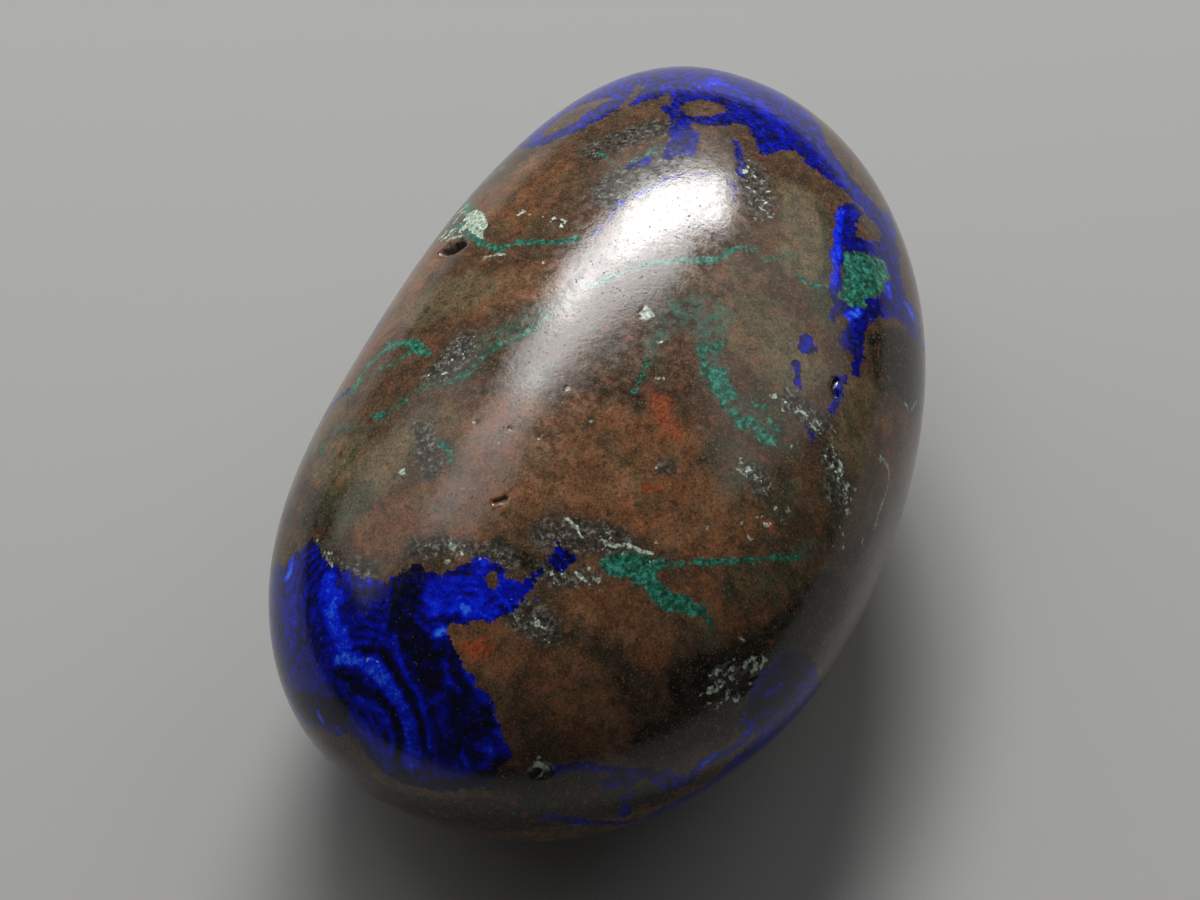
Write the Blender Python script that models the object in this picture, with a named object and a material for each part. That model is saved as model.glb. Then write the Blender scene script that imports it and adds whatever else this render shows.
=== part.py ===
"""A hand-sized azurite stone, ground and polished all over, in one piece.

Metres, +Z up. The stone lies on its broad side: +X runs along its length to the far
end, +Y across it, and the origin is under the middle of its box, on the surface that
it rests on.
"""

from math import cos, exp, radians, sin

import bmesh
import bpy
from mathutils import Vector

MM = 0.001

# The driving sizes: the finished stone's box
LENGTH = 62.0 * MM
WIDTH = 38.8 * MM
HEIGHT = 27.2 * MM

# The belly is worn flat by this much where the stone rests
REST_WEAR = 0.35 * MM

# How full the outline is, from above and from the side: 2 is an ellipse, more is boxier
PLAN_FULLNESS = 2.2
SIDE_FULLNESS = 2.15

# What makes the outline uneven, each as a share of the half width: how much narrower
# the far end is than the near one, how far both ends bow towards +Y, and how far the
# far end sways that way and the near end the other
TAPER = 0.085
BOW = 0.145
SWAY = 0.065

# Where grinding left the stone a little fuller (+) or flatter (-), as the direction
# from its middle (azimuth, elevation) in degrees, the reach in degrees and the height
LOBES = {
    "near right corner": ((-118, 0), 13, 0.45 * MM),
    "right flank flat": ((-88, 10), 16, -0.30 * MM),
    "near end flat": ((-150, 12), 14, -0.30 * MM),
    "left flank flat": ((100, 20), 18, -0.25 * MM),
    "belly ridge": ((160, -50), 24, 0.40 * MM),
    "belly flat": ((-15, -40), 22, -0.50 * MM),
}

# Pits and nicks that the polish didn't reach, each as the direction of its two ends
# from the stone's middle, in degrees, its half width and its depth. A round pit has
# both ends in one place.
PITS = {
    "vug by the crust": ((71, 33), (66, 34), 0.75 * MM, 0.75 * MM),
    "bright chip": ((-31, 80), (-31, 80), 0.60 * MM, 0.25 * MM),
    "crack in the blue": ((-70, 36), (-78, 36), 0.50 * MM, 0.40 * MM),
    "pit at the near end": ((-166, 8), (-165, 8), 0.65 * MM, 0.40 * MM),
    "crusted hollow": ((-141, 15), (-138, 14), 1.10 * MM, 0.30 * MM),
    "vug underneath": ((25, -38), (33, -36), 0.95 * MM, 0.85 * MM),
}

# How finely the ball is divided all over, how often it is divided again at a pit, and
# how far out from the pit's middle, in half widths
BALL_DIVISIONS = 5
PIT_DIVISIONS = 3
PIT_REACH = 1.4

# The stone's overall colour and polish
COLOUR = (0.060, 0.050, 0.080, 1.0)
ROUGHNESS = 0.2


def direction(azimuth, elevation):
    """The unit vector that points azimuth degrees from +X and elevation degrees up."""
    flat = cos(radians(elevation))
    return Vector((
        cos(radians(azimuth)) * flat,
        sin(radians(azimuth)) * flat,
        sin(radians(elevation)),
    ))


def pebble(towards):
    """The point of the uneven pebble in a direction, about its own middle."""
    half = Vector((LENGTH / 2, WIDTH / 2, HEIGHT / 2))
    plan = abs(towards.x / half.x) ** PLAN_FULLNESS + abs(towards.y / half.y) ** PLAN_FULLNESS
    rise = abs(towards.z / half.z) ** SIDE_FULLNESS
    reach = (plan ** (SIDE_FULLNESS / PLAN_FULLNESS) + rise) ** (-1 / SIDE_FULLNESS)
    point = towards * reach
    along = point.x / half.x
    on_ball = Vector((along, point.y / half.y, point.z / half.z)).normalized()
    outward = Vector((on_ball.x / half.x, on_ball.y / half.y, on_ball.z / half.z)).normalized()
    for (azimuth, elevation), spread, height in LOBES.values():
        apart = on_ball.angle(direction(azimuth, elevation))
        point += outward * height * exp(-((apart / radians(spread)) ** 2))
    point.y = point.y * (1 - TAPER * along) + half.y * (BOW * along ** 2 + SWAY * along ** 3)
    return point


def fitted(corners):
    """A function that takes a pebble's point to the finished box, resting at height 0."""
    low = Vector([min(p[axis] for p in corners) for axis in range(3)])
    high = Vector([max(p[axis] for p in corners) for axis in range(3)])
    box = Vector((LENGTH, WIDTH, HEIGHT + REST_WEAR))
    middle = Vector((0, 0, (HEIGHT - REST_WEAR) / 2))

    def place(point):
        from_middle = point - (low + high) / 2
        scaled = [from_middle[axis] * box[axis] / (high[axis] - low[axis]) for axis in range(3)]
        return Vector(scaled) + middle

    return place


def distance_to_line(point, start, end):
    """How far a point is from the straight line between two points."""
    along = end - start
    if along.length < 1e-9:
        return (point - start).length
    share = max(0.0, min(1.0, (point - start).dot(along) / along.dot(along)))
    return (point - start - along * share).length


def bowl(share):
    """The depth of a pit at a share of its half width: 1 in the middle, 0 at the lip."""
    if share >= 1:
        return 0.0
    return (1 - share * share) ** 2


def divide_near_pits(bm, place, pits):
    """Divides the ball's faces again where a pit will be pressed in."""
    for _ in range(PIT_DIVISIONS):
        near = []
        for edge in bm.edges:
            middle = (edge.verts[0].co + edge.verts[1].co).normalized()
            at = place(pebble(middle))
            if any(distance_to_line(at, start, end) < wide * PIT_REACH + edge_size(edge, place)
                   for start, end, wide, deep in pits):
                near.append(edge)
        bmesh.ops.subdivide_edges(bm, edges=near, cuts=1, use_grid_fill=True)
        bmesh.ops.triangulate(bm, faces=bm.faces[:])
        for vert in bm.verts:
            vert.co.normalize()


def edge_size(edge, place):
    """Half the length that an edge of the ball has on the stone."""
    ends = [place(pebble(vert.co.normalized())) for vert in edge.verts]
    return (ends[0] - ends[1]).length / 2


def stone_mesh():
    """The stone's closed mesh."""
    bm = bmesh.new()
    bmesh.ops.create_icosphere(bm, subdivisions=BALL_DIVISIONS, radius=1)
    place = fitted([pebble(vert.co.normalized()) for vert in bm.verts])
    pits = []
    for first, last, wide, deep in PITS.values():
        ends = [place(pebble(direction(*angles))) for angles in (first, last)]
        pits.append((ends[0], ends[1], wide, deep))
    divide_near_pits(bm, place, pits)
    for vert in bm.verts:
        vert.co = place(pebble(vert.co.normalized()))
    bm.normal_update()
    inward = {vert: -vert.normal for vert in bm.verts}
    for vert in bm.verts:
        press = sum(deep * bowl(distance_to_line(vert.co, start, end) / wide)
                    for start, end, wide, deep in pits)
        vert.co += inward[vert] * press
        vert.co.z = max(vert.co.z, 0.0)
    mesh = bpy.data.meshes.new("azurite_stone")
    bm.to_mesh(mesh)
    bm.free()
    mesh.shade_smooth()
    return mesh


def polished_stone():
    """Dark blue and brown stone with a polish."""
    material = bpy.data.materials.new("polished_stone")
    material.use_nodes = True
    shader = material.node_tree.nodes["Principled BSDF"]
    shader.inputs["Base Color"].default_value = COLOUR
    shader.inputs["Roughness"].default_value = ROUGHNESS
    shader.inputs["Metallic"].default_value = 0.0
    return material


for old in list(bpy.data.objects):
    bpy.data.objects.remove(old)

stone = bpy.data.objects.new("azurite_stone", stone_mesh())
stone.data.materials.append(polished_stone())
bpy.context.scene.collection.objects.link(stone)
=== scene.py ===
"""The looks of a polished azurite stone: its fine surface, its minerals, and the light on it.

Metres, +Z up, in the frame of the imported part: +X runs along the stone to its far end.
"""

from math import ceil, cos, pi, radians, sin, tan

import bmesh
import bpy
import numpy as np
from mathutils import Matrix, Vector, noise
from mathutils.bvhtree import BVHTree


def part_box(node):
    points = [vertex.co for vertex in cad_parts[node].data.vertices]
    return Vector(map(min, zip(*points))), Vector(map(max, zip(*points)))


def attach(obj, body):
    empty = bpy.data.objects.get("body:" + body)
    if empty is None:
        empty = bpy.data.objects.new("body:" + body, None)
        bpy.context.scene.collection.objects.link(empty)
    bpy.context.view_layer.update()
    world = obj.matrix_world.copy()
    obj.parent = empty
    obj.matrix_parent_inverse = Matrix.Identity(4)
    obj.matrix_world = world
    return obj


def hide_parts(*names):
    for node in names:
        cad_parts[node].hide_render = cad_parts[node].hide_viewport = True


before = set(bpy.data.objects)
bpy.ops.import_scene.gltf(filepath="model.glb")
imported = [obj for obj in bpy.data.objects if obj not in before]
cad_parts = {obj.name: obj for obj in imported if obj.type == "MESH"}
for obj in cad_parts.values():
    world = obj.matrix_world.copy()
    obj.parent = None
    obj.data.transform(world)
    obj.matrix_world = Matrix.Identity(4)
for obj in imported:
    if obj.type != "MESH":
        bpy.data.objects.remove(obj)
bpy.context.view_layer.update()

# The camera
# It looks down on the stone from beyond its near end, a little to the right. A marking
# can be placed by the pixel where the photo shows it, in a frame of 1200 by 900.
MM = 0.001
PHOTO_WIDTH = 1200
PHOTO_HEIGHT = 900
CAMERA_AZIMUTH = radians(-66.5)
CAMERA_ELEVATION = radians(56)
CAMERA_DISTANCE = 193.05 * MM
CAMERA_TARGET = Vector((-1.74, 1.38, 13.6)) * MM
LENS = 85
SENSOR = 36

camera = bpy.data.objects.new("camera", bpy.data.cameras.new("camera"))
bpy.context.scene.collection.objects.link(camera)
bpy.context.scene.camera = camera
camera.data.lens = LENS
camera.data.sensor_width = SENSOR
camera.data.clip_start = 10 * MM
camera.data.clip_end = 10.0
backwards = Vector((
    sin(CAMERA_AZIMUTH) * cos(CAMERA_ELEVATION),
    -cos(CAMERA_AZIMUTH) * cos(CAMERA_ELEVATION),
    sin(CAMERA_ELEVATION),
))
camera.rotation_mode = "QUATERNION"
camera.rotation_quaternion = (-backwards).to_track_quat("-Z", "Y")
camera.location = CAMERA_TARGET + backwards * CAMERA_DISTANCE


def sight_line(x, y):
    """The direction from the camera through a pixel of the photo."""
    focal = LENS / SENSOR * PHOTO_WIDTH
    aim = Vector(((x - PHOTO_WIDTH / 2) / focal, (PHOTO_HEIGHT / 2 - y) / focal, -1))
    return (camera.rotation_quaternion @ aim).normalized()


# The ground and polished form
# The stone is one pebble of rock, ground to an uneven egg and polished all over, with a
# flat worn where it rests. The mesh follows the part's own form, fine enough to carry
# the markings, and finest on the side that the camera sees.
PLAN_FULLNESS = 2.2
SIDE_FULLNESS = 2.15
TAPER = 0.085
BOW = 0.145
SWAY = 0.065
REST_WEAR = 0.35 * MM
LOBES = {
    "near right corner": ((-118, 0), 13, 0.45 * MM),
    "right flank flat": ((-88, 10), 16, -0.30 * MM),
    "near end flat": ((-150, 12), 14, -0.30 * MM),
    "left flank flat": ((100, 20), 18, -0.25 * MM),
    "belly ridge": ((160, -50), 24, 0.40 * MM),
    "belly flat": ((-15, -40), 22, -0.50 * MM),
}
CUTS = (176, 112, 80)
TOWARDS_CAMERA = 0.30
WAVE_SIZE = 7.0 * MM
WAVE_HEIGHT = 0.035 * MM

stone_low, stone_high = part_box("azurite_stone")
HALF = np.array(stone_high - stone_low) / 2


def directions(*angles):
    """Unit vectors, each azimuth degrees from +X and elevation degrees up."""
    turned = np.radians(np.array(angles, float).reshape(-1, 2))
    flat = np.cos(turned[:, 1])
    return np.stack([np.cos(turned[:, 0]) * flat, np.sin(turned[:, 0]) * flat,
                     np.sin(turned[:, 1])], axis=1)


def unit(vectors):
    """The vectors at length 1."""
    return vectors / np.linalg.norm(vectors, axis=1, keepdims=True)


def pebble(towards):
    """The points of the uneven pebble in these directions, about its own middle."""
    reach = np.abs(towards / HALF)
    plan = reach[:, 0] ** PLAN_FULLNESS + reach[:, 1] ** PLAN_FULLNESS
    rise = reach[:, 2] ** SIDE_FULLNESS
    points = towards * ((plan ** (SIDE_FULLNESS / PLAN_FULLNESS) + rise) ** (-1 / SIDE_FULLNESS))[:, None]
    along = points[:, 0] / HALF[0]
    on_ball = unit(points / HALF)
    outward = unit(on_ball / HALF)
    for middle, spread, height in LOBES.values():
        apart = np.arccos(np.clip(on_ball @ directions(middle)[0], -1, 1))
        points = points + outward * (height * np.exp(-(apart / radians(spread)) ** 2))[:, None]
    points[:, 1] *= 1 - TAPER * along
    points[:, 1] += HALF[1] * (BOW * along ** 2 + SWAY * along ** 3)
    return points


def ball_directions(bm):
    """The directions of a ball's vertices from the stone's middle."""
    return np.array([vert.co for vert in bm.verts]) * HALF


def cut_ball():
    """A cube cut into a fine even grid and blown up to a ball, finer towards the camera."""
    bm = bmesh.new()
    bmesh.ops.create_cube(bm, size=2)
    for axis, cuts in enumerate(CUTS):
        lengthwise = [edge for edge in bm.edges
                      if abs(edge.verts[0].co[axis] - edge.verts[1].co[axis]) > 0.5]
        bmesh.ops.subdivide_edges(bm, edges=lengthwise, cuts=cuts - 1, use_grid_fill=True)
    pull = backwards * TOWARDS_CAMERA
    for vert in bm.verts:
        even = Vector([tan(share * pi / 4) for share in vert.co]).normalized()
        vert.co = (even + pull).normalized()
    return bm


ball = cut_ball()
whole = pebble(ball_directions(ball))
PEBBLE_MIDDLE = (whole.max(0) + whole.min(0)) / 2
GROWTH = (2 * HALF + [0, 0, REST_WEAR]) / (whole.max(0) - whole.min(0))
STONE_MIDDLE = np.array((stone_low + stone_high) / 2) - [0, 0, REST_WEAR / 2]


def ground(towards):
    """The places on the finished stone in these directions from its middle."""
    places = (pebble(towards) - PEBBLE_MIDDLE) * GROWTH + STONE_MIDDLE
    places[:, 2] = np.maximum(places[:, 2], stone_low.z)
    return places


def move(bm, new_places):
    """Puts each vertex at its new place."""
    for vert, place in zip(bm.verts, new_places):
        vert.co = place


even_ball = [vert.co.copy() for vert in ball.verts]
places = ground(ball_directions(ball))
move(ball, places)
skin = BVHTree.FromBMesh(ball)

# How a marking is laid on the stone
# Each pit and mineral is drawn on the surface as lines and closed outlines, through
# pixels where the photo shows it, and elsewhere through directions from the stone's
# middle.
STONE_PIXEL = Vector((607, 469))
PIXEL = 0.067 * MM
LINE_STEP = 1.2 * MM


def seen(*pixels):
    """The places that the photo shows at these pixels, or just inside the rim."""
    found = []
    for pixel in pixels:
        aim = Vector(pixel)
        place = None
        while place is None:
            place = skin.ray_cast(camera.location, sight_line(*aim))[0]
            aim = aim.lerp(STONE_PIXEL, 0.004)
        found.append(place)
    return found


def hidden(*angles):
    """The places in these directions from the stone's middle."""
    return [Vector(place) for place in ground(directions(*angles))]


def laid(line):
    """The line with more points along it, all on the stone."""
    points = [line[0]]
    for start, end in zip(line, line[1:]):
        steps = ceil((end - start).length / LINE_STEP)
        for step in range(1, steps + 1):
            points.append(skin.find_nearest(start.lerp(end, step / steps))[0])
    return np.array(points)


def distance_to_line(points, line):
    """How far each point is from a line of places, or from its only place."""
    apart = np.linalg.norm(points - line[0], axis=1)
    for start, end in zip(line, line[1:]):
        along = end - start
        share = np.clip((points - start) @ along / max(along @ along, 1e-18), 0, 1)
        apart = np.minimum(apart, np.linalg.norm(points - start - share[:, None] * along, axis=1))
    return apart


# Pits and nicks
# The polish closed most of the rock, but left a few vugs, chips and a short crack open,
# with crumbly floors, where softer or looser grains fell out. Each has its line, its
# half width and its depth. Their walls are ragged, and the mesh is cut finer around them.
PITS = {
    "vug by the crust": (seen((445, 252), (457, 247)), 0.80 * MM, 0.75 * MM),
    "bright chip": (seen((645, 313)), 0.45 * MM, 0.06 * MM),
    "crack in the blue": (seen((836, 380), (833, 388), (836, 396)), 0.22 * MM, 0.35 * MM),
    "pit at the near end": (seen((546, 771), (538, 772)), 0.55 * MM, 0.35 * MM),
    "crusted hollow": (seen((722, 676), (742, 682)), 1.00 * MM, 0.25 * MM),
    "nick in the rust": (seen((494, 502), (505, 498)), 0.22 * MM, 0.20 * MM),
        "vug underneath": (hidden((25, -38), (33, -36)), 0.95 * MM, 0.85 * MM),
}
NICKS = (
    (476, 421), (510, 428), (617, 494), (539, 437), (700, 425), (723, 408), (545, 263),
    (567, 388), (402, 478), (660, 340), (590, 420), (750, 350), (636, 572), (470, 700),
)
NICK_WIDE = 0.17 * MM
NICK_DEEP = 0.06 * MM
for number, pixel in enumerate(NICKS):
    PITS[f"nick {number}"] = (seen(pixel), NICK_WIDE, NICK_DEEP)
PIT_REACH = 1.6
PIT_MARGIN = 0.1 * MM
PIT_RAGGED = 0.45
PIT_GRAIN = 0.45 * MM

near = np.zeros(len(places), bool)
for line, wide, deep in PITS.values():
    near |= distance_to_line(places, np.array(line)) < wide * PIT_REACH + PIT_MARGIN
move(ball, even_ball)
ball.verts.index_update()
edges = [edge for edge in ball.edges if near[edge.verts[0].index] and near[edge.verts[1].index]]
bmesh.ops.subdivide_edges(ball, edges=edges, cuts=1, use_grid_fill=True)
for vert in ball.verts:
    vert.co.normalize()
places = ground(ball_directions(ball))
move(ball, places)
ball.normal_update()
normals = np.array([vert.normal for vert in ball.verts])

raggedness = np.array([noise.noise(Vector(place / PIT_GRAIN)) for place in places])
pressed = np.zeros(len(places))
pit = np.zeros(len(places))
for line, wide, deep in PITS.values():
    share = distance_to_line(places, np.array(line)) / wide * (1 + PIT_RAGGED * raggedness)
    share = np.clip(share, 0, 1)
    pressed = np.maximum(pressed, deep * (1 - share ** 2) ** 2)
    pit = np.maximum(pit, 1 - share)
waves = np.array([noise.noise(Vector(place / WAVE_SIZE)) for place in places])
finished = places + normals * (WAVE_HEIGHT * waves - pressed)[:, None]
finished[:, 2] = np.maximum(finished[:, 2], stone_low.z)
move(ball, finished)

stone_mesh = bpy.data.meshes.new("azurite_stone_polished")
ball.to_mesh(stone_mesh)
ball.free()
stone_mesh.shade_smooth()
stone = bpy.data.objects.new("azurite_stone_polished", stone_mesh)
bpy.context.scene.collection.objects.link(stone)


# How far inside a marking a vertex lies
# What a vertex keeps of a mineral is its depth inside the mineral's outline, so that the
# material can fray the edge.
FAR_OUTSIDE = -10 * MM


def stroke(line, half_width):
    """How far inside a stroke along a line each vertex is, below 0 outside it."""
    return half_width - distance_to_line(places, laid(line))


def flat_chart(points, centre):
    """The points as seen from the stone's middle, unrolled on a flat chart about centre."""
    towards = unit((points - STONE_MIDDLE) / HALF)
    sideways = unit(np.cross([0.3, 0.2, 1.0], centre)[None])[0]
    upwards = np.cross(centre, sideways)
    apart = np.arccos(np.clip(towards @ centre, -1, 1))
    across = towards @ sideways
    up = towards @ upwards
    reach = apart / np.maximum(np.hypot(across, up), 1e-9)
    return across * reach, up * reach


def patch(outline):
    """How far inside a closed outline each vertex is, below 0 outside it."""
    closed = laid(outline + outline[:1])
    centre = unit(unit((closed - STONE_MIDDLE) / HALF).mean(0)[None])[0]
    edge_x, edge_y = flat_chart(closed, centre)
    x, y = flat_chart(places, centre)
    inside = np.zeros(len(places), bool)
    for x1, y1, x2, y2 in zip(edge_x, edge_y, edge_x[1:], edge_y[1:]):
        if y1 != y2:
            crossed = (y1 > y) != (y2 > y)
            inside ^= crossed & (x < x1 + (y - y1) * (x2 - x1) / (y2 - y1))
    return np.where(inside, 1, -1) * distance_to_line(places, closed)


def cover(inside, soft):
    """From 0 well outside a marking to 1 well inside it."""
    share = np.clip(inside / soft / 2 + 0.5, 0, 1)
    return share * share * (3 - 2 * share)


def painted(field, inside, value, soft):
    """The field with the marking painted over it at this value."""
    return field + (value - field) * cover(inside, soft)


def keep(name, values):
    """Stores one number for each vertex of the stone."""
    stored = stone_mesh.attributes.new(name, "FLOAT", "POINT")
    stored.data.foreach_set("value", values.astype(np.float32))


# Azurite
# Deep blue copper carbonate, grown in the rock as crusts with fine bands around their
# first crystals. It fills the near left corner, caps the far end and runs along the
# rims, with loose patches by the malachite.
AZURITE_PATCHES = {
    "near left corner": (
        seen((281, 568), (290, 559), (303, 548), (313, 537), (320, 550), (330, 565), (350, 571), (365, 580),
             (388, 580), (408, 566), (418, 565), (425, 572), (440, 572), (455, 570), (465, 563), (474, 557),
             (488, 556), (492, 563), (508, 567), (506, 575), (522, 583), (527, 575), (533, 580), (526, 598),
             (538, 599), (520, 604), (508, 616), (485, 622), (465, 621), (450, 622), (448, 632), (455, 650),
             (467, 672), (483, 692), (493, 705), (500, 730), (506, 748), (512, 757), (500, 768), (488, 784),
             (455, 793), (425, 788), (400, 782), (380, 768), (366, 755), (360, 741), (350, 735), (335, 736),
             (322, 727), (306, 722))
        + hidden((163, -9), (158, -20), (148, -24), (142, -14), (139, -5), (139, 1))
    ),
    "far cap": (
        seen((512, 152), (530, 149), (545, 145), (560, 138), (575, 133), (595, 122), (605, 117), (625, 108),
             (640, 103), (655, 98), (665, 112), (680, 118), (700, 124), (720, 127), (738, 124), (750, 128),
             (755, 140), (760, 155), (780, 150), (795, 150), (808, 165), (818, 171), (835, 184), (852, 198),
             (866, 213), (884, 236), (897, 240), (893, 215))
        + hidden((-14, 1), (-6, -2), (-11, -9), (-9, -18), (2, -24), (8, -33), (16, -27), (24, -12),
                 (30, -13), (36, -3), (42, 2), (47, 11))
    ),
    "tongue below the cap": seen(
        (671, 112), (682, 116), (692, 124), (699, 136), (697, 150), (689, 158), (681, 155), (676, 150),
        (673, 161), (665, 160), (664, 148), (669, 138)),
    "small patch by the vein": seen(
        (541, 567), (546, 558), (552, 555), (558, 543), (570, 551), (580, 560), (571, 564), (563, 570),
        (550, 567), (540, 573), (530, 579), (528, 574)),
    "near right rim": (
        seen((770, 706), (785, 690), (792, 679), (802, 675), (813, 677), (822, 684))
        + hidden((-126, -12), (-136, -20), (-150, -20), (-156, -13))
        + seen((652, 812), (680, 799), (706, 785), (735, 757), (757, 736), (765, 718))
    ),
    "dark patch by the crust": seen(
        (750, 692), (768, 668), (788, 650), (808, 652), (818, 676), (800, 700), (776, 722), (757, 736),
        (742, 722)),
    "round the green blob": (
        seen((833, 240), (836, 215), (845, 203), (858, 206), (864, 212), (856, 222), (855, 237), (866, 242),
             (880, 240), (884, 228), (890, 222), (897, 240), (900, 262), (902, 284), (907, 300), (917, 312),
             (922, 332))
        + hidden((-49, -4), (-53, 1))
        + seen((912, 338), (903, 322), (894, 318), (872, 318), (868, 328), (863, 345), (866, 360),
               (858, 368), (852, 355), (842, 348), (839, 338), (848, 322), (840, 312), (834, 322),
               (828, 318), (834, 306), (829, 290), (832, 262))
    ),
}
# Faint patches, drawn this much smaller all round, so that the fraying breaks them up
THIN_AZURITE = {
    "blue streak below it": seen(
        (833, 368), (841, 368), (854, 376), (852, 384), (846, 393), (846, 403), (842, 412), (834, 420),
        (824, 423), (822, 415), (827, 403), (829, 390)),
    "blue side patch": seen(
        (797, 332), (806, 328), (815, 335), (822, 342), (820, 356), (812, 359), (806, 363), (799, 355),
        (793, 345)),
}
THINNED = 0.30 * MM
AZURITE_LINES = (
    (4, ((347, 391), (335, 402), (318, 419))),
    (4, ((387, 306), (381, 322), (364, 340))),
    (2.5, ((588, 238), (600, 229), (612, 217), (618, 204), (635, 196), (655, 186), (667, 178), (692, 175))),
    (1.5, ((692, 175), (720, 177), (733, 186), (734, 200))),
    (4, ((797, 364), (798, 384))),
    (4, ((810, 429), (814, 436))),
    (4, ((542, 815), (600, 823), (650, 819))),
    (5, ((556, 769), (580, 768), (610, 769), (640, 772), (662, 774), (684, 781))),
    (8, ((608, 782), (630, 781))),
    (5, ((628, 790), (626, 814))),
    (6, ((655, 777), (668, 785), (690, 781), (702, 764), (724, 754), (742, 742), (752, 726))),
    (4, ((737, 142), (741, 160), (742, 177))),
    (4, ((630, 167), (648, 160))),
    (3, ((856, 360), (855, 372))),
)
AZURITE_HOLES = (
    seen((540, 138), (548, 128), (562, 116), (580, 106), (598, 99), (620, 98), (600, 104), (588, 113),
         (575, 122), (558, 132)),
    seen((484, 577), (493, 573), (500, 580), (499, 594), (491, 590)),
    seen((682, 103), (700, 100), (722, 104), (728, 110), (712, 117), (690, 116), (681, 112)),
    seen((655, 98), (668, 92), (673, 97), (670, 106), (658, 106)),
    seen((638, 84), (643, 86), (634, 100), (622, 112), (610, 114), (622, 104), (632, 96)),
    seen((790, 95), (800, 103), (812, 115), (820, 127), (827, 145), (835, 157), (845, 170), (853, 180),
         (862, 190), (872, 200), (880, 210))
    + hidden((-30, 4), (-15, 3), (-5, 7)),
)
GREEN_BLOB = seen(
    (845, 251), (858, 250), (872, 256), (884, 260), (890, 276), (883, 294), (868, 300), (866, 308),
    (852, 307), (838, 297), (830, 290), (843, 292), (842, 272))

azurite = np.full(len(places), FAR_OUTSIDE)
for outline in AZURITE_PATCHES.values():
    azurite = np.maximum(azurite, patch(outline))
for outline in THIN_AZURITE.values():
    azurite = np.maximum(azurite, patch(outline) - THINNED)
for wide, pixels in AZURITE_LINES:
    azurite = np.maximum(azurite, stroke(seen(*pixels), wide * PIXEL))
for outline in (*AZURITE_HOLES, GREEN_BLOB):
    azurite = np.minimum(azurite, -patch(outline))

# How light the blue is, with one line of painted reflection: each line's lightness, half
# width in pixels and course, laid over those before it
AZURITE_TONES = (
    (0.08, 13, ((410, 574), (404, 600), (400, 625), (415, 642), (428, 660), (430, 680))),
    (0.16, 14, ((452, 655), (458, 690), (468, 728), (470, 745))),
    (0.58, 15, ((440, 590), (470, 590), (515, 588))),
    (0.66, 9, ((432, 608), (455, 605), (490, 612))),
    (0.50, 8, ((480, 562), (492, 590), (520, 596))),
    (1.10, 4, ((437, 633), (444, 632))),
    (1.10, 3, ((462, 607), (468, 611))),
    (1.00, 4, ((292, 560), (290, 572), (286, 578))),
    (0.50, 12, ((292, 590), (290, 640))),
    (0.42, 8, ((290, 680), (320, 682), (342, 684))),
    (0.10, 14, ((298, 704), (320, 712), (345, 712))),
    (0.10, 6, ((340, 672), (352, 682), (366, 692), (385, 702), (397, 716), (402, 736), (398, 758))),
    (0.46, 16, ((362, 715), (374, 728), (376, 750))),
    (0.72, 2, ((356, 697), (372, 702), (382, 712), (390, 725), (394, 742), (390, 756))),
    (0.25, 7, ((350, 735), (366, 752), (380, 768))),
    (1.00, 3, ((318, 713), (322, 721))),
    (0.90, 6, ((338, 661), (360, 660), (376, 668), (388, 684), (400, 702))),
    (0.85, 10, ((370, 666), (380, 672), (396, 694))),
    (0.72, 9, ((404, 708), (412, 728), (413, 748), (410, 762))),
    (0.08, 4, ((364, 649), (384, 651), (390, 664), (400, 682), (412, 700), (421, 722), (426, 750))),
    (0.66, 2, ((394, 636), (399, 656), (408, 678), (420, 698), (427, 722), (430, 748))),
    (0.22, 2, ((402, 650), (414, 676), (426, 694), (434, 716), (437, 740), (441, 800))),
    (0.55, 3, ((433, 738), (434, 760), (437, 785))),
    (0.60, 2, ((365, 641), (378, 643), (392, 638))),
    (0.60, 2, ((446, 662), (448, 680), (460, 692))),
    (0.58, 4, ((466, 668), (478, 690), (490, 706), (497, 730), (503, 748))),
    (0.60, 2, ((467, 742), (463, 756), (468, 771))),
    (0.65, 5, ((480, 748), (490, 746), (494, 760), (484, 764))),
    (0.06, 6, ((485, 714), (488, 722))),
    (0.75, 3, ((340, 590), (342, 602), (332, 612), (322, 604), (320, 592))),
    (0.75, 2, ((333, 590), (336, 598), (330, 603))),
    (0.20, 2, ((309, 555), (309, 600), (308, 645))),
    (0.30, 9, ((684, 100), (706, 110), (722, 112))),
    (0.55, 8, ((700, 84), (716, 80), (732, 88))),
    (0.90, 3, ((708, 84), (716, 84))),
    (0.50, 9, ((762, 104), (776, 122), (788, 138))),
    (0.20, 3, ((612, 104), (640, 92), (660, 92))),
    (0.90, 5, ((845, 318), (858, 312))),
    (0.85, 4, ((888, 286), (890, 296))),
    (0.85, 4, ((906, 304), (914, 318))),
    (0.15, 3, ((900, 240), (906, 278))),
    (0.85, 3, ((700, 768), (722, 748), (748, 732))),
    (0.80, 3, ((766, 700), (784, 694))),
    (0.12, 22, ((765, 705), (790, 672), (800, 660))),
    (0.60, 3, ((765, 695), (782, 684))),
    (0.50, 3, ((752, 722), (770, 712))),
    (0.90, 3, ((374, 330), (380, 330), (379, 339))),
    (0.80, 6, ((840, 212), (836, 235), (836, 262), (832, 282))),
    # Painted reflection, in part: paler blue on the left of the near corner, where a hazy reflection lies
    # over the blue
    (0.80, 9, ((328, 580), (332, 620), (345, 645))),
    (0.12, 7, ((395, 778), (430, 786), (480, 782), (500, 764))),
    (0.08, 10, ((276, 655), (286, 700), (310, 745))),
)
BASE_TONE = 0.36
TONE_SOFT = 0.14 * MM
tone_and_reflection = np.full(len(places), BASE_TONE)
for lightness, wide, pixels in AZURITE_TONES:
    tone_and_reflection = painted(tone_and_reflection, stroke(seen(*pixels), wide * PIXEL), lightness, TONE_SOFT)

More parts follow.
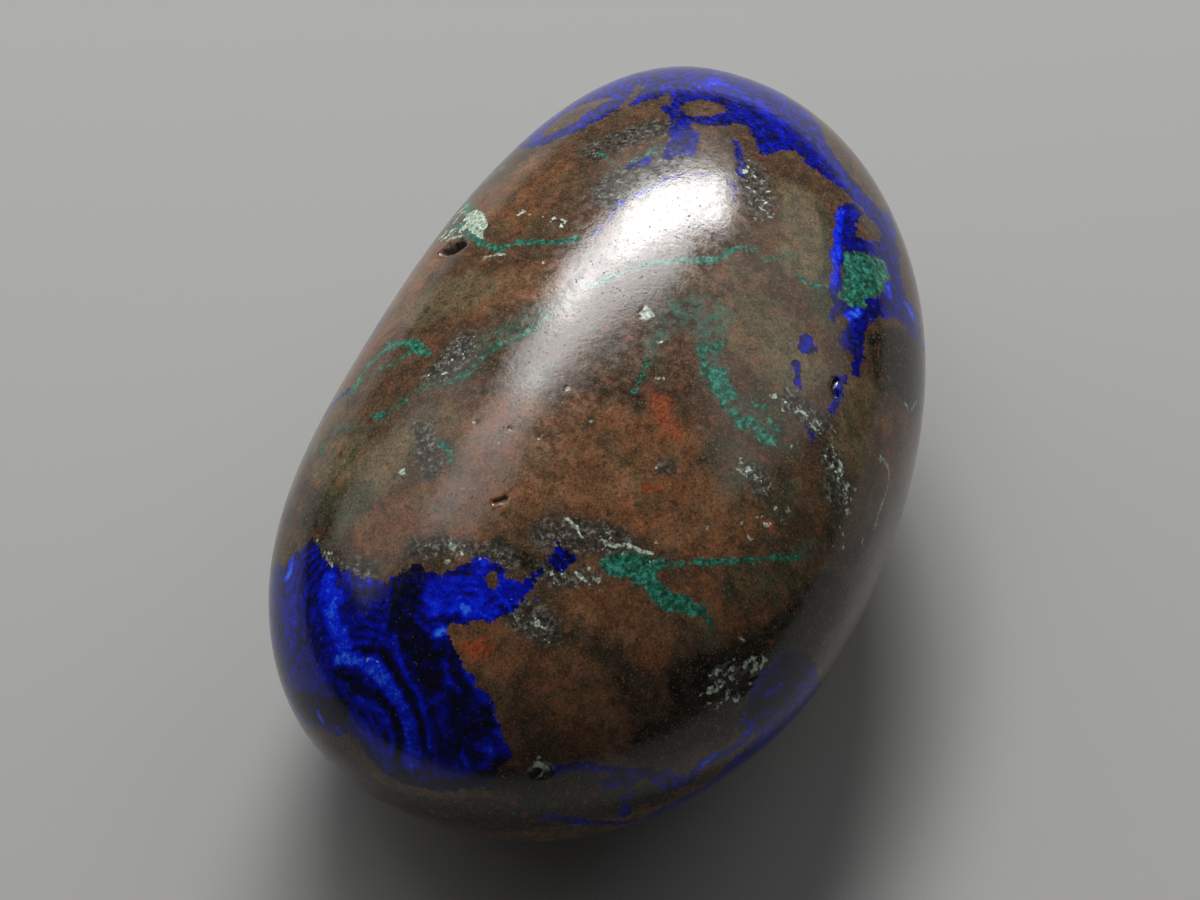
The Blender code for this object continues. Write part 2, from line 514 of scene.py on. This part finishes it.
# Where its bands start: they follow these lines and ring these points
BAND_STARTS = (
    seen((330, 662), (362, 656), (385, 664), (400, 692), (415, 716), (424, 745), (428, 800)),
    seen((340, 755), (350, 770)),
    seen((333, 596), (331, 599)),
    seen((487, 752), (489, 756)),
    seen((456, 676), (458, 680)),
    seen((720, 90), (760, 104), (800, 150)),
    seen((860, 283), (861, 285)),
    seen((700, 762), (740, 745)),
    hidden((0, -12), (20, -8)),
    hidden((-170, -20), (175, -24)),
)
bands = np.full(len(places), np.inf)
for line in BAND_STARTS:
    bands = np.minimum(bands, distance_to_line(places, laid(line)))

# Malachite
# Green copper carbonate, grown in cracks and around the azurite: one banded blob, thin
# crooked veins, and a thin stain that soaked into the rock beside them.
MALACHITE_PATCHES = (
    GREEN_BLOB,
    seen((598, 560), (612, 553), (632, 553), (650, 557), (662, 568), (655, 578), (668, 590), (690, 598),
         (706, 608), (712, 626), (698, 616), (670, 612), (652, 603), (642, 588), (628, 578), (604, 575)),
    seen((703, 372), (728, 365), (731, 386), (741, 396), (722, 402), (711, 391)),
)
MALACHITE_LINES = (
    (3.5, ((446, 234), (460, 226), (470, 234), (480, 243), (500, 250), (518, 242), (535, 243), (556, 243),
           (578, 239))),
    (2.5, ((450, 382), (470, 372), (478, 360), (500, 345), (528, 332), (540, 323), (550, 315))),
    (3.0, ((588, 288), (620, 275), (650, 264), (680, 260), (710, 261), (730, 252), (742, 247), (755, 250))),
    (2.5, ((765, 260), (778, 257), (792, 254))),
    (2.5, ((797, 274), (803, 281), (818, 287), (832, 289))),
    (2.8, ((655, 562), (672, 566), (690, 562), (720, 562), (740, 561), (760, 560), (798, 556))),
    (4.0, ((350, 395), (358, 380), (370, 363), (385, 350), (395, 344), (408, 342), (418, 346), (427, 354))),
    (2.5, ((380, 368), (392, 365), (402, 358), (418, 347))),
    (2.5, ((388, 341), (390, 350))),
    (5.0, ((352, 392), (358, 384))),
    (2.0, ((402, 403), (415, 392), (430, 384), (440, 383))),
    (2.5, ((372, 415), (388, 416))),
    (2.5, ((322, 446), (323, 452))),
    (2.5, ((440, 443), (447, 449), (452, 460))),
    (1.5, ((652, 352), (647, 362), (640, 378), (633, 393))),
    (3.0, ((700, 346), (703, 360), (705, 372))),
    (3.0, ((702, 345), (715, 350), (727, 340))),
    (3.0, ((722, 405), (735, 414))),
    (4.5, ((740, 424), (752, 420), (762, 432), (772, 440), (764, 441))),
    (2.5, ((756, 404), (765, 409))),
    (3.0, ((771, 423), (775, 426))),
    (4.0, ((466, 200), (468, 212))),
    (1.4, ((600, 153), (612, 163))),
    (1.2, ((628, 165), (658, 149))),
)
malachite = np.full(len(places), FAR_OUTSIDE)
for outline in MALACHITE_PATCHES:
    malachite = np.maximum(malachite, patch(outline))
for wide, pixels in MALACHITE_LINES:
    malachite = np.maximum(malachite, stroke(seen(*pixels), wide * PIXEL))
HIDDEN_VEINS = (
    (0.25, ((70, -4), (62, 4), (58, 14), (50, 20))),
    (0.20, ((118, 2), (108, -8), (96, -14), (88, -26))),
    (0.30, ((-60, -18), (-48, -30), (-30, -38))),
    (0.20, ((-92, -24), (-100, -36), (-120, -48))),
)
for wide, angles in HIDDEN_VEINS:
    malachite = np.maximum(malachite, stroke(hidden(*angles), wide * MM))

GREEN_STAINS = (
    (0.9, 14, ((675, 312), (700, 306), (718, 318), (705, 330))),
    (0.8, 10, ((668, 322), (655, 345))),
    (0.9, 9, ((716, 330), (708, 350), (716, 380), (735, 410), (768, 435))),
    (0.7, 10, ((560, 300), (520, 325), (470, 350), (440, 375))),
    (0.6, 8, ((335, 430), (370, 425), (400, 405))),
    (0.5, 7, ((300, 555), (330, 545), (345, 520))),
    (0.7, 6, ((800, 552), (822, 546))),
    (0.5, 8, ((706, 612), (712, 640))),
    (0.5, 8, ((465, 195), (468, 215), (450, 235))),
)
STAIN_SOFT = 0.7 * MM
stain = np.zeros(len(places))
for strength, wide, pixels in GREEN_STAINS:
    stain = painted(stain, stroke(seen(*pixels), wide * PIXEL), strength, STAIN_SOFT)

# The rock
# A fine iron-stained breccia that holds the copper minerals: rusty, tan and olive pieces
# without sharp edges, run through by grey speckled seams and by black gangue. The black
# along the lower, near rim and over the lower part of the face is partly painted shade.
ROCK_ZONES = {
    "rust": (
        (1.0, 60, ((590, 450), (640, 470), (700, 500))),
        (0.9, 45, ((500, 430), (510, 480), (480, 510))),
        (0.9, 28, ((380, 530), (440, 505))),
        (0.6, 40, ((540, 170), (520, 210), (490, 200))),
        (0.8, 30, ((470, 300), (540, 280))),
        (0.9, 30, ((460, 640), (500, 650))),
        (0.8, 30, ((590, 590), (650, 640))),
        (0.6, 40, ((560, 680), (600, 720))),
        (0.7, 30, ((700, 600), (780, 600))),
        (0.7, 24, ((895, 430), (890, 470))),
        (0.7, 20, ((340, 480), (330, 470))),
    ),
    "tan": (
        (0.9, 30, ((330, 460), (380, 470))),
        (0.8, 30, ((420, 310), (470, 290))),
        (0.9, 24, ((800, 200), (800, 260))),
        (0.8, 40, ((750, 320), (790, 360))),
        (0.8, 28, ((862, 400), (850, 450))),
        (0.6, 30, ((400, 440), (440, 420))),
        (0.5, 30, ((740, 280), (700, 290))),
    ),
    "olive": (
        (0.9, 22, ((310, 510), (350, 500))),
        (0.6, 30, ((720, 460), (780, 500))),
        (0.6, 24, ((840, 480), (840, 520))),
        (0.5, 30, ((500, 345), (440, 380))),
        (0.6, 24, ((760, 400), (790, 440))),
        (0.6, 28, ((800, 570), (740, 590))),
    ),
    "gangue_and_shade": (
        # Partly painted shade: the smears along the lower, near rim and over the lower part of the face
        # darken the side turned away from the lights.
        (0.9, 34, ((830, 600), (770, 660), (700, 690))),
        (0.8, 26, ((730, 720), (650, 745))),
        (0.9, 22, ((560, 800), (660, 795))),
        (0.9, 20, ((498, 778), (540, 792), (600, 790))),
        (0.7, 14, ((850, 560), (880, 520))),
        (0.9, 18, ((890, 350), (908, 380))),
        (1.0, 26, ((340, 762), (390, 800), (450, 816), (520, 815), (600, 800))),
        (0.5, 20, ((300, 480), (322, 530))),
        (0.6, 16, ((290, 530), (286, 505))),
        (0.5, 26, ((600, 640), (640, 700))),
        (0.5, 16, ((520, 680), (530, 710))),
        (0.7, 10, ((500, 545), (520, 560), (560, 575))),
        (0.4, 24, ((640, 400), (600, 400))),
        (0.6, 7, ((640, 90), (600, 105), (560, 120))),
    ),
    "red": (
        (0.6, 16, ((655, 400), (675, 430))),
        (0.7, 7, ((645, 488), (658, 488))),
        (0.5, 7, ((768, 524), (774, 528))),
    ),
}
HIDDEN_ZONES = {
    "rust": (
        (0.9, 7, ((90, 12), (110, 0))),
        (0.8, 6, ((140, -8), (150, -20))),
        (0.8, 7, ((-80, -30), (-60, -50))),
        (0.9, 4, ((-50, -8), (-34, -4), (-24, -12))),
        (0.7, 9, ((60, -60), (180, -70))),
    ),
    "tan": (
        (0.8, 4, ((120, 12), (130, 4))),
        (0.8, 5, ((60, -20), (75, -30))),
        (0.6, 6, ((-140, -50), (-170, -55))),
        (0.8, 3, ((-90, -10), (-82, -20), (-66, -26))),
    ),
    "olive": (
        (0.7, 4, ((100, -22), (120, -28))),
        (0.6, 5, ((-40, -55), (-10, -60))),
        (0.8, 3, ((-40, -22), (-28, -16), (-16, -24))),
    ),
    "gangue_and_shade": (
        (0.8, 3, ((-95, -18), (-110, -30))),
        (0.8, 2, ((-66, -18), (-52, -28), (-30, -30), (-14, -38))),
        (0.8, 3, ((40, -14), (55, -36), (90, -45))),
        (0.7, 3, ((150, -34), (-170, -44))),
    ),
}
ROCK_PATCHES = {
    "tan": seen(
        (783, 180), (800, 190), (812, 215), (820, 240), (822, 262), (818, 280), (805, 272), (800, 255),
        (795, 235), (790, 210), (785, 195)),
    "olive": seen(
        (822, 195), (830, 215), (828, 250), (826, 290), (838, 300), (832, 330), (812, 320), (806, 290),
        (824, 270), (824, 235), (814, 205)),
    "gangue_and_shade": (
        seen((868, 335), (890, 330))
        + hidden((-48, 1), (-44, -6), (-54, -14), (-60, -9), (-68, -12))
        + seen((906, 398), (890, 392), (882, 402), (874, 378))
    ),
    "rust": (
        seen((884, 415), (900, 412))
        + hidden((-66, -2), (-76, -10), (-84, -6))
        + seen((898, 474), (886, 455))
    ),
    "red": seen(
        (457, 641), (470, 637), (486, 639), (494, 648), (490, 660), (480, 658), (474, 664), (462, 655)),
}
ZONE_SOFT = 1.3 * MM
SMALL_SMEAR = 12
PATCH_SOFT = 0.8 * MM
for zone, smears in ROCK_ZONES.items():
    weight = np.zeros(len(places))
    for strength, wide, pixels in smears:
        inside = stroke(seen(*pixels), wide * PIXEL)
        soft = ZONE_SOFT if wide > SMALL_SMEAR else ZONE_SOFT / 3
        weight = np.maximum(weight, strength * cover(inside, soft))
    for strength, wide, angles in HIDDEN_ZONES.get(zone, ()):
        inside = stroke(hidden(*angles), wide * MM)
        weight = np.maximum(weight, strength * cover(inside, 2 * ZONE_SOFT))
    if zone in ROCK_PATCHES:
        weight = painted(weight, patch(ROCK_PATCHES[zone]), 1.0, PATCH_SOFT)
    keep(zone, weight)

GREY_SEAMS = (
    (12, ((416, 548), (445, 544), (480, 552), (505, 560))),
    (16, ((545, 535), (580, 535), (620, 545))),
    (10, ((540, 575), (590, 578))),
    (16, ((515, 612), (545, 628))),
    (12, ((424, 430), (430, 470))),
    (18, ((440, 372), (462, 345))),
    (16, ((750, 170), (762, 205))),
    (9, ((752, 470), (762, 488))),
    (26, ((615, 190), (670, 160))),
    (16, ((596, 152), (640, 132), (660, 128))),
    (14, ((832, 460), (838, 495))),
    (10, ((330, 560), (370, 572))),
    (14, ((790, 400), (820, 425))),
)
HIDDEN_SEAMS = (
    ((104, 6), (120, -4), (134, -16)),
    ((80, -36), (100, -50)),
    ((-70, -12), (-50, -24)),
)
HIDDEN_SEAM_WIDE = 1.2 * MM
GREY_CHIP = seen((652, 462), (662, 460), (672, 460), (675, 472), (666, 474), (658, 470))
seams = np.full(len(places), FAR_OUTSIDE)
for wide, pixels in GREY_SEAMS:
    seams = np.maximum(seams, stroke(seen(*pixels), wide * PIXEL))
seams = np.maximum(seams, patch(GREY_CHIP))
for angles in HIDDEN_SEAMS:
    seams = np.maximum(seams, stroke(hidden(*angles), HIDDEN_SEAM_WIDE))

# Pale crust and chips
# Crumbs of pale green and white carbonate, left in the hollows of the rock and showing
# as small chips, scratches and dots where the polish cut them.
CRUST_PATCHES = (
    seen((467, 215), (476, 209), (484, 213), (488, 226), (482, 232), (484, 240), (476, 236), (466, 226)),
    seen((638, 314), (646, 305), (651, 309), (655, 316), (648, 318)),
    seen((398, 470), (404, 468), (406, 473), (401, 476)),
)
CRUST_LINES = (
    (1.6, ((462, 212), (455, 222), (441, 238))),
    (2.0, ((448, 240), (462, 236))),
    (1.6, ((484, 258), (498, 254), (505, 255))),
    (1.6, ((740, 638), (744, 641))),
    (3.0, ((538, 764), (545, 770))),
    (1.2, ((322, 548), (333, 567))),
    (1.6, ((882, 457), (889, 468), (889, 484), (884, 498), (880, 510), (874, 530))),
    (1.6, ((863, 538), (862, 546))),
    (1.4, ((905, 402), (909, 412), (917, 402))),
    (1.2, ((842, 462), (841, 476))),
    (1.2, ((845, 482), (856, 490))),
    (1.2, ((736, 468), (745, 475))),
    (1.0, ((655, 379), (665, 378))),
    (1.8, ((576, 573), (584, 580))),
    (1.6, ((601, 540), (614, 546), (628, 544), (644, 553), (656, 553))),
    (1.4, ((566, 518), (576, 526), (582, 538))),
    (2.0, ((450, 544), (454, 547))),
    (1.8, ((446, 562), (449, 562))),
)
CRUST_DOTS = (
    (1.6, ((632, 498), (708, 528), (657, 543), (629, 539), (498, 443), (463, 488), (438, 366), (567, 388),
           (368, 660), (377, 662), (280, 662), (318, 664))),
    (1.3, ((750, 198), (765, 205), (762, 182), (777, 400), (787, 388), (797, 408), (812, 410), (805, 416),
           (820, 433), (788, 457), (791, 446), (757, 490), (765, 475), (745, 607), (760, 533), (788, 508),
           (738, 106), (743, 116), (411, 613), (445, 788), (656, 468), (868, 552), (545, 640), (523, 618))),
)
crust = np.full(len(places), FAR_OUTSIDE)
for outline in CRUST_PATCHES:
    crust = np.maximum(crust, patch(outline))
for wide, pixels in CRUST_LINES:
    crust = np.maximum(crust, stroke(seen(*pixels), wide * PIXEL))
for wide, pixels in CRUST_DOTS:
    for pixel in pixels:
        crust = np.maximum(crust, stroke(seen(pixel), wide * PIXEL))

# Where the crumbs lie loose, and how thick: strength, half width in pixels and course
CRUMBS = (
    (0.9, 11, ((708, 692), (720, 678), (738, 668), (758, 662))),
    (0.6, 12, ((720, 704), (745, 684))),
    (0.8, 6, ((536, 764), (548, 772))),
    (0.9, 7, ((441, 238), (458, 232), (470, 222), (462, 210))),
    (0.5, 12, ((744, 168), (762, 190), (765, 215))),
    (0.5, 9, ((770, 396), (798, 412), (826, 432))),
    (0.6, 8, ((742, 468), (766, 484))),
    (0.6, 9, ((832, 455), (842, 480), (852, 500), (838, 545))),
    (0.4, 9, ((745, 530), (790, 512))),
    (0.5, 8, ((880, 455), (890, 480), (878, 525))),
    (0.4, 9, ((430, 550), (480, 556))),
    (0.5, 8, ((600, 540), (650, 552))),
    (0.5, 9, ((548, 574), (596, 580))),
    (0.5, 10, ((516, 612), (548, 632))),
    (0.4, 9, ((520, 215), (560, 222))),
    (0.4, 12, ((440, 375), (470, 345))),
    (0.4, 8, ((318, 545), (345, 562))),
)
CRUMB_SOFT = 0.6 * MM
crumbs = np.zeros(len(places))
for strength, wide, pixels in CRUMBS:
    inside = stroke(seen(*pixels), wide * PIXEL)
    crumbs = np.maximum(crumbs, strength * cover(inside, CRUMB_SOFT))

keep("azurite", azurite / MM)
keep("tone_and_reflection", tone_and_reflection)
keep("bands", bands / MM)
keep("malachite", malachite / MM)
keep("stain", stain)
keep("seams", seams / MM)
keep("crust", crust / MM)
keep("crumbs", crumbs)
keep("pit", pit)

# The stone's material
# One polished surface over all the minerals. Their edges are frayed by fine noise, and
# each has its own colours and grain; the crust, open pits and pores are duller.
stone_material = bpy.data.materials.new("polished_stone")
stone_material.use_nodes = True
tree = stone_material.node_tree
shader = tree.nodes["Principled BSDF"]


def feed(socket, value):
    """Links a socket to another node's output, or sets its own value."""
    if isinstance(value, bpy.types.NodeSocket):
        tree.links.new(value, socket)
    else:
        socket.default_value = value


def field(name):
    """What the vertices keep under this name."""
    made = tree.nodes.new("ShaderNodeAttribute")
    made.attribute_name = name
    return made.outputs["Fac"]


def maths(operation, *values):
    """The result of one sum."""
    made = tree.nodes.new("ShaderNodeMath")
    made.operation = operation
    for socket, value in zip(made.inputs, values):
        feed(socket, value)
    return made.outputs[0]


def rising(value, low, high):
    """From 0 at low to 1 at high, smoothly."""
    made = tree.nodes.new("ShaderNodeMapRange")
    made.interpolation_type = "SMOOTHSTEP"
    feed(made.inputs["Value"], value)
    made.inputs["From Min"].default_value = low
    made.inputs["From Max"].default_value = high
    return made.outputs["Result"]


def mixed(share, first, second, blend="MIX"):
    """The first colour with a share of the second."""
    made = tree.nodes.new("ShaderNodeMix")
    made.data_type = "RGBA"
    made.blend_type = blend
    feed(made.inputs[0], share)
    feed(made.inputs[6], first)
    feed(made.inputs[7], second)
    return made.outputs[2]


def shades(value, *stops):
    """A run of colours, each at its place from 0 to 1."""
    made = tree.nodes.new("ShaderNodeValToRGB")
    feed(made.inputs[0], value)
    marks = made.color_ramp.elements
    while len(marks) < len(stops):
        marks.new(0.5)
    for mark, (at, colour) in zip(marks, stops):
        mark.position = at
        mark.color = (*colour, 1)
    return made.outputs["Color"]


object_place = tree.nodes.new("ShaderNodeTexCoord").outputs["Object"]
in_millimetres = tree.nodes.new("ShaderNodeVectorMath")
in_millimetres.operation = "SCALE"
in_millimetres.inputs["Scale"].default_value = 1 / MM
feed(in_millimetres.inputs[0], object_place)


def grain(size, seed, detail=3.0, rough=0.55, bend=0.0):
    """Noise between 0 and 1 with features of this size in millimetres."""
    made = tree.nodes.new("ShaderNodeTexNoise")
    made.noise_dimensions = "4D"
    feed(made.inputs["Vector"], in_millimetres.outputs[0])
    made.inputs["W"].default_value = seed
    made.inputs["Scale"].default_value = 1 / size
    made.inputs["Detail"].default_value = detail
    made.inputs["Roughness"].default_value = rough
    made.inputs["Distortion"].default_value = bend
    return made.outputs["Fac"]


def frayed(name, ragged, fine, seed, soft):
    """1 inside a marking and 0 outside it, its edge moved by noise, in millimetres."""
    wander = maths("MULTIPLY", maths("SUBTRACT", grain(0.9, seed, 4.0, 0.6), 0.5), ragged)
    crumble = maths("MULTIPLY", maths("SUBTRACT", grain(0.22, seed + 1, 2.0), 0.5), fine)
    moved = maths("ADD", field(name), maths("ADD", wander, crumble))
    return rising(moved, -soft, soft)


# Rock colours, from the darkest ground to the brightest grains
mottle = grain(2.6, 1.0, 6.0, 0.62, 0.4)
mid_grain = grain(0.55, 2.0, 4.0, 0.65)
fine_grain = grain(0.16, 3.0, 2.0, 0.6)
rock = shades(mottle, (0.30, (0.060, 0.035, 0.022)), (0.50, (0.115, 0.066, 0.040)),
              (0.70, (0.170, 0.110, 0.070)))
blur = maths("MULTIPLY", maths("SUBTRACT", grain(1.4, 5.0, 5.0, 0.6), 0.5), 1.2)


def zone(name, low=0.25, high=0.75):
    """How much of a rock zone shows, with a mottled border."""
    weight = field(name)
    moved = maths("ADD", weight, maths("MULTIPLY", blur, rising(weight, 0.0, 0.3)))
    return rising(moved, low, high)


ZONE_COLOURS = {
    "rust": ((0.30, (0.150, 0.065, 0.030)), (0.52, (0.235, 0.110, 0.055)), (0.72, (0.300, 0.160, 0.085))),
    "tan": ((0.30, (0.120, 0.088, 0.048)), (0.70, (0.240, 0.185, 0.110))),
    "olive": ((0.30, (0.048, 0.050, 0.030)), (0.70, (0.120, 0.115, 0.070))),
}
for name, stops in ZONE_COLOURS.items():
    rock = mixed(zone(name), rock, shades(mottle, *stops))
rock = mixed(zone("red"), rock, (0.420, 0.095, 0.038, 1))
# Black gangue, which along the lower, near rim is partly painted shade
black_rock_and_shade = shades(mid_grain, (0.35, (0.008, 0.008, 0.006)), (0.60, (0.030, 0.028, 0.018)),
                    (0.75, (0.070, 0.055, 0.030)))
rock = mixed(zone("gangue_and_shade"), rock, black_rock_and_shade)
tints = shades(grain(1.7, 61.0, 5.0, 0.6), (0.34, (0.52, 0.68, 0.62)), (0.50, (0.78, 0.80, 0.76)),
               (0.66, (0.98, 0.84, 0.72)))
rock = mixed(1.0, rock, tints, "MULTIPLY")
rock = mixed(1.0, rock, shades(mid_grain, (0.28, (0.55, 0.56, 0.55)), (0.50, (1.0, 1.0, 1.0)),
                               (0.72, (1.35, 1.28, 1.22))), "MULTIPLY")
rock = mixed(1.0, rock, shades(fine_grain, (0.30, (0.55, 0.55, 0.55)), (0.50, (1.0, 1.0, 1.0)),
                               (0.70, (1.45, 1.38, 1.30))), "MULTIPLY")


def specks(size, seed, low):
    """Separate grains of this size in millimetres; a higher low leaves fewer."""
    return rising(grain(size, seed, 1.5, 0.5), low, low + 0.05)


rock = mixed(maths("MULTIPLY", rising(grain(1.3, 56.0, 5.0, 0.62), 0.52, 0.66), 0.55), rock,
             (0.042, 0.034, 0.020, 1))
rock = mixed(maths("MULTIPLY", rising(grain(1.1, 57.0, 5.0, 0.62), 0.56, 0.68), 0.40), rock,
             (0.250, 0.098, 0.048, 1))
rock = mixed(maths("MULTIPLY", specks(0.13, 51.0, 0.60), 0.55), rock, (0.330, 0.150, 0.065, 1))
rock = mixed(maths("MULTIPLY", specks(0.15, 52.0, 0.60), 0.60), rock, (0.030, 0.026, 0.018, 1))
rock = mixed(maths("MULTIPLY", specks(0.35, 53.0, 0.66), 0.60), rock, (0.035, 0.045, 0.028, 1))
rock = mixed(maths("MULTIPLY", specks(0.75, 54.0, 0.66), 0.55), rock, (0.030, 0.028, 0.018, 1))
rock = mixed(maths("MULTIPLY", specks(0.90, 55.0, 0.66), 0.45), rock, (0.300, 0.090, 0.045, 1))
rock = mixed(maths("MULTIPLY", field("stain"), rising(grain(0.5, 7.0, 4.0), 0.38, 0.62)), rock,
             shades(fine_grain, (0.3, (0.030, 0.085, 0.060)), (0.7, (0.090, 0.200, 0.140))))

# Grey seams: pale crumbs in a dark ground
grey = shades(grain(0.28, 8.0, 3.0, 0.7), (0.38, (0.014, 0.012, 0.010)), (0.53, (0.068, 0.062, 0.050)),
              (0.67, (0.300, 0.290, 0.250)))
rock = mixed(maths("MULTIPLY", frayed("seams", 2.2, 0.8, 9.0, 0.35), 0.85), rock, grey)

# Malachite: mottled greens
green = shades(maths("ADD", maths("MULTIPLY", grain(0.30, 11.0, 4.0, 0.7), 0.85),
                     maths("MULTIPLY", grain(1.1, 12.0, 2.0), 0.15)),
               (0.36, (0.004, 0.022, 0.014)), (0.50, (0.020, 0.130, 0.082)), (0.63, (0.070, 0.400, 0.290)))
malachite_here = frayed("malachite", 0.9, 1.0, 14.0, 0.09)
surface = mixed(malachite_here, rock, green)

# Azurite: blotches of blue, and bands this many millimetres apart
BAND_SPACING = 0.64
band_wave = maths("SINE", maths("ADD", maths("MULTIPLY", field("bands"), 2 * pi / BAND_SPACING),
                                maths("MULTIPLY", grain(1.6, 21.0, 4.0, 0.6), 11.0)))
banding = maths("MULTIPLY", band_wave, maths("MULTIPLY", rising(grain(2.4, 22.0, 1.0), 0.42, 0.66), 0.12))
blotches = maths("MULTIPLY", maths("SUBTRACT", grain(0.7, 23.0, 6.0, 0.68), 0.5), 1.5)
sparkle = maths("MULTIPLY", maths("SUBTRACT", grain(0.16, 24.0, 2.0, 0.6), 0.5), 0.7)
blue_tone = maths("ADD", maths("ADD", field("tone_and_reflection"), banding), maths("ADD", blotches, sparkle))
blue = shades(maths("MULTIPLY", blue_tone, 0.8), (0.06, (0.0004, 0.0008, 0.012)),
              (0.24, (0.0004, 0.0018, 0.100)), (0.44, (0.0006, 0.0050, 0.430)),
              (0.66, (0.0015, 0.0240, 0.950)), (0.95, (0.0500, 0.2800, 1.0000)))
azurite_here = frayed("azurite", 1.3, 0.8, 26.0, 0.06)
surface = mixed(azurite_here, surface, blue)

# Pale crust, over everything
pale = shades(grain(0.25, 31.0, 3.0, 0.65), (0.35, (0.110, 0.150, 0.110)), (0.52, (0.420, 0.530, 0.410)),
              (0.66, (0.880, 0.950, 0.870)))
loose = maths("ADD", grain(0.48, 35.0, 3.0, 0.55), maths("MULTIPLY", field("crumbs"), 0.22))
crust_here = maths("MAXIMUM", frayed("crust", 0.25, 0.35, 33.0, 0.05),
                   maths("MULTIPLY", rising(loose, 0.68, 0.72), rising(field("crumbs"), 0.05, 0.2)))
surface = mixed(crust_here, surface, pale)
# Painted shade: the open pits and nicks, where no crust fills them, are darkened towards black
pit_shade = maths("MULTIPLY", rising(field("pit"), 0.1, 0.7), maths("SUBTRACT", 1.0, crust_here))
surface = mixed(maths("MULTIPLY", pit_shade, 0.75), surface, (0.012, 0.014, 0.010, 1))

# Pores: pin holes that stay dull in the polish, and darkened in colour as painted shade
pores = rising(grain(0.20, 41.0, 2.0, 0.5), 0.66, 0.72)
surface = mixed(maths("MULTIPLY", pores, 0.6), surface, (0.012, 0.010, 0.008, 1))
feed(shader.inputs["Base Color"], surface)

dull = maths("ADD", maths("MULTIPLY", pores, 0.30),
             maths("ADD", maths("MULTIPLY", crust_here, 0.35), maths("MULTIPLY", pit_shade, 0.40)))
polish = maths("ADD", 0.10, maths("MULTIPLY", rising(mid_grain, 0.35, 0.75), 0.16))
feed(shader.inputs["Roughness"], maths("ADD", polish, dull))
shader.inputs["Metallic"].default_value = 0.0
shader.inputs["IOR"].default_value = 1.48

relief = maths("ADD", maths("MULTIPLY", grain(0.45, 43.0, 3.0, 0.6), 0.25),
               maths("SUBTRACT", maths("MULTIPLY", fine_grain, 0.10), maths("MULTIPLY", pores, 0.5)))
bump = tree.nodes.new("ShaderNodeBump")
bump.inputs["Strength"].default_value = 1.0
bump.inputs["Distance"].default_value = 0.035 * MM
feed(bump.inputs["Height"], relief)
feed(shader.inputs["Normal"], bump.outputs["Normal"])
stone_mesh.materials.append(stone_material)

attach(stone, "root")
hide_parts("azurite_stone")

# Floor and light
# A plain pale floor, and softboxes that the polish mirrors: a bright narrow pair beyond
# the far end, weaker ones around it that soften its edges, and wide dim ones at the left
# and right. Each has the directions of its two ends, its width in degrees and its
# radiance.
FLOOR_SIZE = 2.0
FLOOR_COLOUR = (0.44, 0.44, 0.43, 1)
floor_mesh = bpy.data.meshes.new("floor")
floor_shape = bmesh.new()
bmesh.ops.create_grid(floor_shape, x_segments=1, y_segments=1, size=FLOOR_SIZE / 2)
floor_shape.to_mesh(floor_mesh)
floor_shape.free()
floor = bpy.data.objects.new("floor", floor_mesh)
bpy.context.scene.collection.objects.link(floor)
floor_material = bpy.data.materials.new("pale_floor")
floor_material.use_nodes = True
floor_shader = floor_material.node_tree.nodes["Principled BSDF"]
floor_shader.inputs["Base Color"].default_value = FLOOR_COLOUR
floor_shader.inputs["Roughness"].default_value = 0.9
floor_shader.inputs["Specular IOR Level"].default_value = 0.0
floor_mesh.materials.append(floor_material)

LIGHT_DISTANCE = 0.8
SOFTBOXES = {
    "key": ((8, 33), (28, 39), 11, 24.0),
    "key, near end": ((26, 38), (43, 44.5), 10, 14.0),
    "glow above the key": ((15, 42), (52, 51), 12, 8.0),
    "glow further up": ((16, 48), (58, 58), 10, 2.0),
    "glow below the key": ((10, 22), (36, 28), 14, 0.9),
    "haze near the key": ((46, 52), (66, 58), 12, 2.6),
    "haze high": ((60, 60), (96, 60), 16, 2.0),
    "haze left": ((72, 24), (104, 52), 36, 0.8),
    "right fill": ((2, 36), (-56, 38), 40, 0.75),
}
stone_centre = Vector(STONE_MIDDLE)
for name, (first, last, wide, radiance) in SOFTBOXES.items():
    light = bpy.data.objects.new(name, bpy.data.lights.new(name, "AREA"))
    bpy.context.scene.collection.objects.link(light)
    ends = [Vector(end) * LIGHT_DISTANCE for end in directions(first, last)]
    away = ((ends[0] + ends[1]) / 2).normalized()
    along = (ends[1] - ends[0]).normalized()
    light.location = stone_centre + away * LIGHT_DISTANCE
    light.rotation_mode = "QUATERNION"
    light.rotation_quaternion = Matrix((along, away.cross(along), away)).transposed().to_quaternion()
    light.data.shape = "RECTANGLE"
    light.data.size = (ends[1] - ends[0]).length
    light.data.size_y = 2 * LIGHT_DISTANCE * tan(radians(wide / 2))
    light.data.energy = radiance * pi * light.data.size * light.data.size_y

world = bpy.data.worlds.new("studio")
world.use_nodes = True
world.node_tree.nodes["Background"].inputs["Color"].default_value = (1, 1, 1, 1)
world.node_tree.nodes["Background"].inputs["Strength"].default_value = 0.05
bpy.context.scene.world = world
bpy.context.scene.view_settings.view_transform = "Standard"
